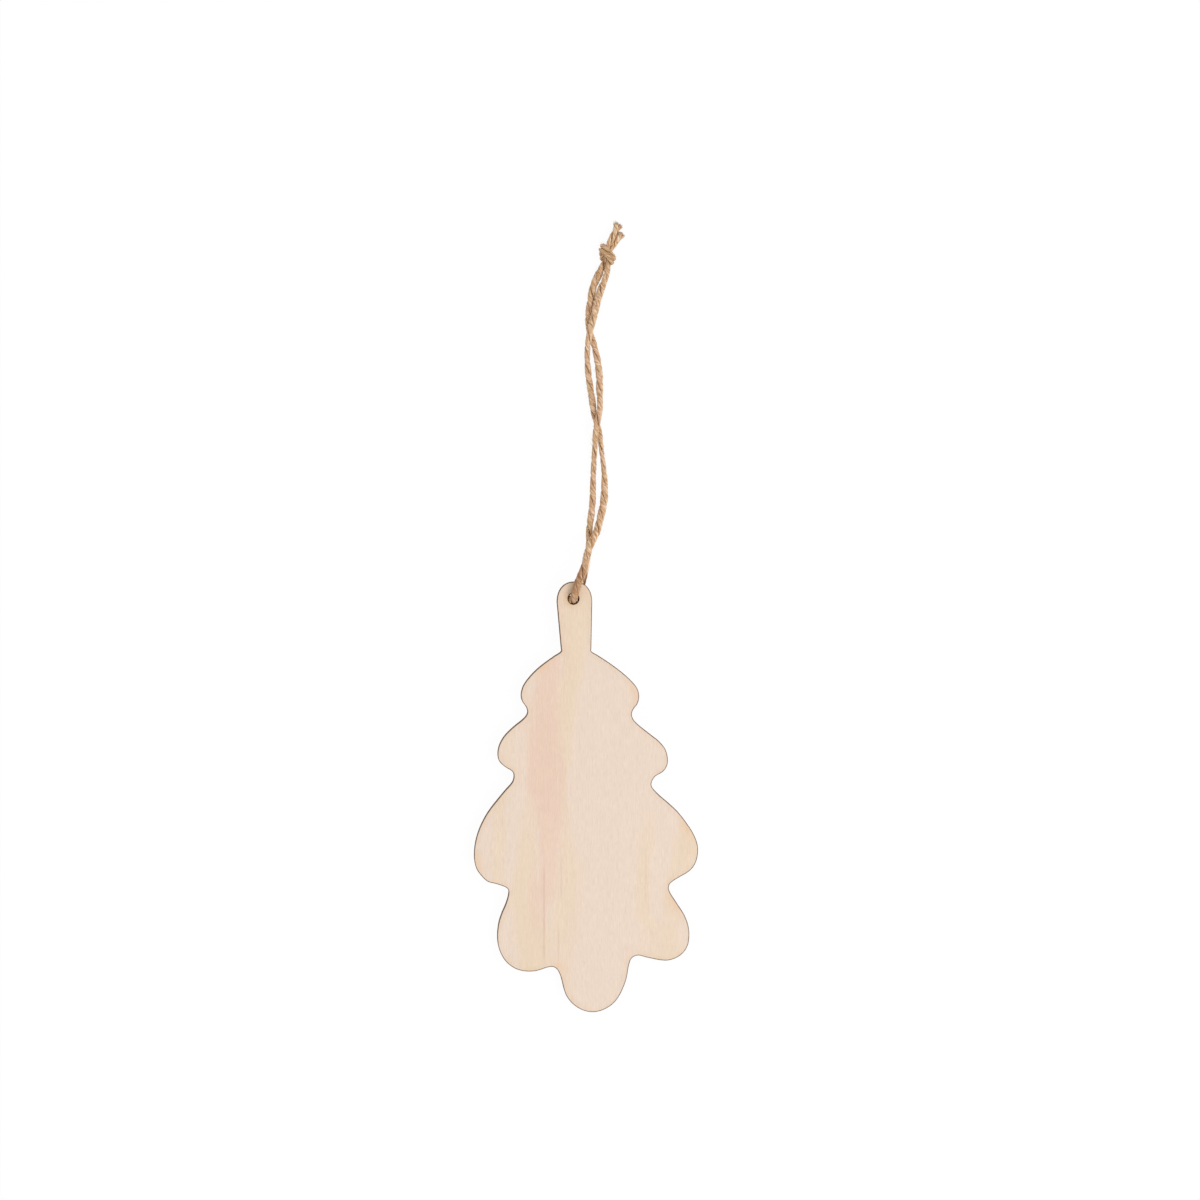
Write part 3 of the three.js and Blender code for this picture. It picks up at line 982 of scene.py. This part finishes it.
# Broad figures in the grain, each as rows of: place along the leaf, middle, half width, strength
FRONT_FIGURES = (
    (YELLOW, (
        (-62, -6.6, 3, 0.3), (-46, -7.2, 4, 0.7), (-25, -5.9, 4, 0.8), (-12, -7, 2, 0.6),
        (5, -8.4, 2, 0.8), (19, -7.5, 3, 0.9), (33, -6.5, 3.6, 1), (44, -4.6, 3.6, 1),
        (70, -2.6, 6, 0.9),
    )),
    (YELLOW, (
        (-64, -17.5, 4, 0.8), (-55, -18, 5.4, 1), (-46, -18.6, 5.6, 1), (-33, -22, 3.2, 0.9),
        (-20, -19.8, 3.2, 0.9), (-8, -19.6, 2.6, 0.6), (4, -19, 2, 0),
    )),
    (YELLOW, (
        (-56, 27, 6.5, 0.6), (-47, 25, 6, 0.6), (-40, 19.6, 2.2, 0.8), (-25, 19.5, 2, 0.8),
        (-12, 20.9, 2.6, 0.5), (0, 21, 2, 0),
    )),
    (YELLOW, (
        (-38, 29, 3, 0.6), (-30, 31, 3.2, 0.7), (-18, 34.2, 3.8, 1), (-8, 34.5, 2.4, 0.9),
        (2, 34, 2, 0),
    )),
    (YELLOW, (
        (-40, -30, 1.8, 0), (-28, -30, 2, 0.6), (-5, -29.5, 2, 0.7), (8, -27, 2.5, 0.5),
        (20, -26, 2, 0.4), (26, -26, 2, 0),
    )),
    (PINK, (
        (-50, -16.2, 2.4, 0), (-40, -16, 3, 0.6), (-32, -14.7, 4.4, 0.8), (-22, -12.4, 3.8, 0.8),
        (-12, -12.6, 4.6, 0.9), (-3, -12.8, 5.4, 1), (6, -14, 6.4, 1), (19, -14.5, 5, 1),
        (33, -14.1, 4.6, 0.9), (44, -11.8, 4, 0.8), (56, -10.5, 3, 0.4),
    )),
)
BACK_FIGURES = (
    (YELLOW, ((-70, 16, 5, 0.8), (-20, 13, 7, 1), (30, 10, 5, 0.9), (70, 6, 4, 0.6))),
    (YELLOW, ((-60, -28, 5, 0.9), (-20, -24, 4, 0.8), (40, -19, 3, 0.5))),
    (PINK, ((-60, 2, 3, 0.5), (-10, -1, 5, 0.9), (40, -4, 4, 0.7), (60, -4, 3, 0.2))),
)

# Single dark growth lines in the front: across, from and to along the leaf, strength
GROWTH_LINES = (
    (-14.2, -59, -20, 0.24), (-9.3, -60, -40, 0.19), (-8.4, -38, -16, 0.12), (20.4, -40, -14, 0.1),
)

# Places at the front's edge where smoke from the cut has settled: across, along and radius
SMOKE_SPOTS = (
    (-8, -56, 6.5), (12.5, -50, 6), (29.5, -37, 7), (34.5, -10.5, 5), (16.5, 36, 5),
    (-15, 45.5, 5), (-36.5, -22, 4.5),
)


def hole_wall(graph, colour, share):
    """The wall of the hole: painted golden light on its left side, which faces the lamp, and char with painted
    shade elsewhere.
    """
    x = graph.node("SeparateXYZ", {0: graph.place()})
    painted_light = graph.fade(x, HOLE_MIDDLE[0] - 0.6, HOLE_MIDDLE[0] - 1.7)
    here = graph.fade(graph.value("hole_mm"), 1, 0.5, 0, share)
    return graph.mix(here, colour, graph.mix(painted_light, HOLE_CHAR_AND_PAINTED_SHADE, HOLE_PAINTED_LIGHT_GOLD))


def growth_streaks(graph, grain, x, y, wave, growth_lines):
    """Dark streaks: the growth lines that are named, or else a few faint ones by chance."""
    if not growth_lines:
        return graph.fade(graph.noise(grain, (0.75, 0.01, 1), offset=(4, 0, 3)), 0.62, 0.74) * 0.13
    streaks = 0.0
    for line_x, low, high, strength in growth_lines:
        away = graph.math("ABSOLUTE", wave * 0.2 + (x - line_x))
        line = graph.fade(away, 0.55, 0.05, 0, strength) * graph.fade(y, low, low + 8)
        streaks = graph.larger(streaks, line * graph.fade(y, high, high - 8))
    return streaks


def stained(graph, colour, place, seed, width, share):
    """The colour, with a warm stain near the outline, and a halo to the left of the hole."""
    patches = graph.noise(place, (0.25,) * 3, 3, offset=(seed, 2, 0))
    stain = graph.fade(graph.value("edge_mm"), width, 0) * graph.fade(patches, 0.35, 0.7, 0.25)
    x = graph.node("SeparateXYZ", {0: place})
    left = graph.fade(x, HOLE_MIDDLE[0] + 3, HOLE_MIDDLE[0] - 3.5, 0.25)
    halo = graph.fade(graph.value("hole_mm"), 2.4, 0) * left
    return graph.mix(graph.larger(stain * share, halo) * 0.62, colour, WARM_STAIN)


def smoked(graph, colour, x, y, smoke_spots):
    """The colour, with smoke settled at places of the outline."""
    near = graph.fade(graph.value("edge_mm"), 5, 0)
    for spot_x, spot_y, radius in smoke_spots:
        across = x - spot_x
        along = (y - spot_y) * 0.75
        away = graph.math("SQRT", across * across + along * along)
        colour = graph.mix(graph.fade(away, radius, 0) * near * 0.45, colour, SMOKE)
    return colour


def scorched(graph, colour, place, seed):
    """The colour, with an uneven dark line along the outline and a thinner one round the hole."""
    reach = graph.noise(place, (2.4, 2.4, 0.3), offset=(0, 0, seed)) * 0.3 + 0.25
    for distance, deeper, scorch in (("edge_mm", 1.0, RIM), ("hole_mm", 0.3, CHAR)):
        share = graph.value(distance) / (reach * deeper)
        colour = graph.mix(graph.fade(share, 1, 0.25), colour, scorch)
    return colour


def veneer_material(name, seed, figures, growth_lines, smoke_spots, stain_width, stain_share):
    """Pale close-grained veneer: soft figures, growth lines, fibres and pores along the leaf, smoke stains near
    the cut and a charred wall, with painted light and shade on the hole's wall."""
    graph = Graph(name)
    place = graph.place()
    x, y = (graph.node("SeparateXYZ", {0: place}, axis) for axis in range(2))
    sway = graph.noise(place, (0.03, 0.012, 0), offset=(seed, 0, 0))
    ripple = graph.noise(place, (0.22, 0.035, 0), 3, offset=(seed, 9, 0))
    bent = x + (sway * 5 - 2.5) + (ripple * 1.6 - 0.8)
    grain = graph.node("CombineXYZ", {0: bent, 1: y, 2: seed})

    colour = PLAIN
    wave = ripple * 2.4 - 1.2
    ragged = graph.noise(grain, (0.8, 0.03, 1), 4, 0.65, offset=(7, 0, 2)) * 2.4 - 1.2
    for tint, rows in figures:
        colour = graph.mix(graph.figure(x + wave, y, ragged, rows), colour, tint)

    growth = graph.noise(grain, (0.9, 0.03, 1), 4, 0.6)
    lines = graph.noise(grain, (2.2, 0.2, 1), 3, 0.65)
    flecks = graph.noise(grain, (3.2, 0.4, 1), 2, 0.6, offset=(2, 5, 0))
    fibres = graph.noise(grain, (8, 0.5, 1), 3, 0.65)
    pores = graph.fade(graph.noise(grain, (7, 0.6, 1)), 0.63, 0.74)
    light = graph.noise(grain, (0.16, 0.03, 1), 3) * 0.05 + 0.943
    for layer, depth in ((growth, 0.09), (lines, 0.21), (flecks, 0.2), (fibres, 0.2)):
        light = light * (layer * depth + (1 - depth / 2))
    light = light * (pores * -0.05 + 1)
    colour = graph.node("VectorMath", {0: colour, "Scale": light}, operation="SCALE")
    streaks = growth_streaks(graph, grain, x, y, wave, growth_lines)
    colour = graph.mix(growth * 0.1, graph.mix(streaks, colour, GROWTH_DARK), GROWTH_WARM)

    colour = stained(graph, colour, place, seed, stain_width, stain_share)
    colour = smoked(graph, colour, x, y, smoke_spots)
    colour = scorched(graph, colour, place, seed)
    wall = graph.value("wall")
    ribs = graph.noise(place, (5.5, 5.5, 0.35), 2, 0.6, offset=(seed, 0, 0))
    colour = graph.mix(wall, colour, graph.ramp(ribs, WALL_TONES))
    relief = fibres * 0.7 + lines * 0.3 - pores * 0.5 + ribs * wall * 2.5
    return graph.surface({
        "Base Color": hole_wall(graph, colour, wall),
        "Roughness": fibres * 0.16 + 0.5 + wall * 0.2,
        "Specular IOR Level": 0.3,
        "Normal": graph.bump(relief, 0.03 * MM, 0.9),
    })


def core_material():
    """Scorched end grain of the core, whose fibres run across the leaf, with painted light and shade on the hole's
    wall.
    """
    graph = Graph("core_end_grain")
    ribs = graph.noise(graph.place(), (5, 5, 0.4), 3, 0.65)
    ends = graph.noise(graph.place(), (3, 9, 7), 3, 0.7)
    shade = ribs * 0.6 + ends * 0.4
    return graph.surface({
        "Base Color": hole_wall(graph, graph.ramp(shade, CORE_TONES), 1.0),
        "Roughness": 0.78,
        "Specular IOR Level": 0.1,
        "Normal": graph.bump(shade, 0.08 * MM),
    })


def glue_material():
    """Dark cured glue, seen only as two hairlines in the edge."""
    graph = Graph("glue_hairline")
    spots = graph.noise(graph.place(), (4, 4, 4), 3)
    return graph.surface({
        "Base Color": graph.ramp(spots, GLUE_TONES),
        "Roughness": 0.5,
        "Normal": graph.bump(spots, 0.02 * MM, 0.6),
    })


def jute_material():
    """Natural jute: fibres from straw to brown that run along each ply, with painted shade between the plies, a
    painted highlight on a stretch of the back leg, and soot and painted shade near the hole and in the knot.
    """
    graph = Graph("natural_jute")
    lines = graph.value("lines", "Vector")
    pale = graph.value("pale")
    broad = graph.noise(lines, (3.3, 3.3, 0.55), 3, 0.65)
    fine = graph.noise(lines, (10, 10, 0.7), 3, 0.65)
    colour = graph.ramp(broad * 0.55 + fine * 0.45, JUTE_TONES, "LINEAR")
    patches = graph.noise(graph.place(), (0.16,) * 3, 3)
    colour = graph.mix(graph.fade(patches, 0.5, 0.66, 0, 0.35), colour, JUTE_PINK)
    colour = graph.mix(graph.fade(patches, 0.48, 0.32, 0, 0.35), colour, JUTE_STRAW)
    # Pale loose fibres, and the painted highlight on a stretch of the back leg
    colour = graph.mix(graph.larger(pale * 0.75, 0), colour, JUTE_PALE_AND_HIGHLIGHT)
    # Darkening from soot near the hole, and painted shade in the hole and the knot
    colour = graph.mix(graph.larger(pale * -1, 0), colour, JUTE_SOOT_AND_SHADE, "MULTIPLY")
    # Painted shade in the grooves between the plies, and on the right side of the back leg's pale stretch
    between = graph.fade(graph.value("depth"), 0.9, 0.4)
    return graph.surface({
        "Base Color": graph.mix(between, colour, PAINTED_SHADE_BETWEEN_PLIES, "MULTIPLY"),
        "Roughness": 0.82,
        "Specular IOR Level": 0.3,
        "Sheen Weight": 0.2,
        "Sheen Roughness": 0.5,
        "Normal": graph.bump(fine, 0.06 * MM),
    })


# Stage: how much of its shadows the floor shows, the grey that it lights the tag with, and the white world's
# strength as a light
SHADOW_LEFT = 0.05
FLOOR_GREY = 0.84
FLOOR_HALF = 4000.0
FLOOR_CELLS = 8
FLOOR_DROP = 0.02
WORLD_LIGHT = 0.72
KEY_PLACE = (930, -300, 1150)
KEY_TARGET = (0, 60, 0)
KEY_SIZE = 1100.0
KEY_ENERGY = 9.4


def looked_at(graph):
    """1 for what the camera sees, and 0 for what lights other things."""
    seen = 0.0
    for ray in ("Is Camera Ray", "Is Glossy Ray", "Is Transmission Ray"):
        seen = graph.larger(seen, graph.node("LightPath", {}, ray))
    return seen


def add_floor():
    """A wide white floor with a faint shadow on it."""
    graph = Graph("white_floor")
    seen = looked_at(graph)
    material = graph.surface({
        "Base Color": graph.mix(seen, (FLOOR_GREY,) * 3 + (1,), (SHADOW_LEFT,) * 3 + (1,)),
        "Roughness": 1.0,
        "Specular IOR Level": 0.0,
        "Emission Color": (1, 1, 1, 1),
        "Emission Strength": seen * (1 - 0.9 * SHADOW_LEFT),
    })
    row = FLOOR_CELLS + 1
    steps = np.linspace(-FLOOR_HALF, FLOOR_HALF, row)
    corners = [row * j + i for j in range(FLOOR_CELLS) for i in range(FLOOR_CELLS)]
    parts = Parts()
    parts.add([(x, y, 0) for y in steps for x in steps], [(c, c + 1, c + row + 1, c + row) for c in corners])
    floor = parts.build("floor", material)
    floor.location.z = -FLOOR_DROP * MM


def add_world():
    """A world that is white to look at, and lights the tag a little less."""
    graph = Graph("white_world", bpy.data.worlds)
    strength = looked_at(graph) * (1 - WORLD_LIGHT) + WORLD_LIGHT
    inputs = {"Color": (1, 1, 1, 1), "Strength": strength}
    bpy.context.scene.world = graph.surface(inputs, "Background", "OutputWorld")


def add_key_lamp():
    data = bpy.data.lights.new("key_lamp", "AREA")
    data.shape = "DISK"
    data.size = KEY_SIZE * MM
    data.energy = KEY_ENERGY
    lamp = bpy.data.objects.new("key_lamp", data)
    lamp.location = Vector(KEY_PLACE) * MM
    lamp.rotation_mode = "QUATERNION"
    lamp.rotation_quaternion = (Vector(KEY_TARGET) - Vector(KEY_PLACE)).to_track_quat("-Z", "Y")
    bpy.context.scene.collection.objects.link(lamp)


add_camera()
add_twine(jute_material())
add_leaf({
    "front_veneer": veneer_material(
        "front_basswood", 3.0, FRONT_FIGURES, GROWTH_LINES, SMOKE_SPOTS, stain_width=2.6, stain_share=0.4,
    ),
    "glue_line": glue_material(),
    "core_veneer": core_material(),
    "back_veneer": veneer_material(
        "back_basswood", 17.0, BACK_FIGURES, (), (), stain_width=3.4, stain_share=0.7,
    ),
})
add_floor()
add_world()
add_key_lamp()

scene = bpy.context.scene
scene.view_settings.view_transform = "Standard"
bpy.context.view_layer.update()
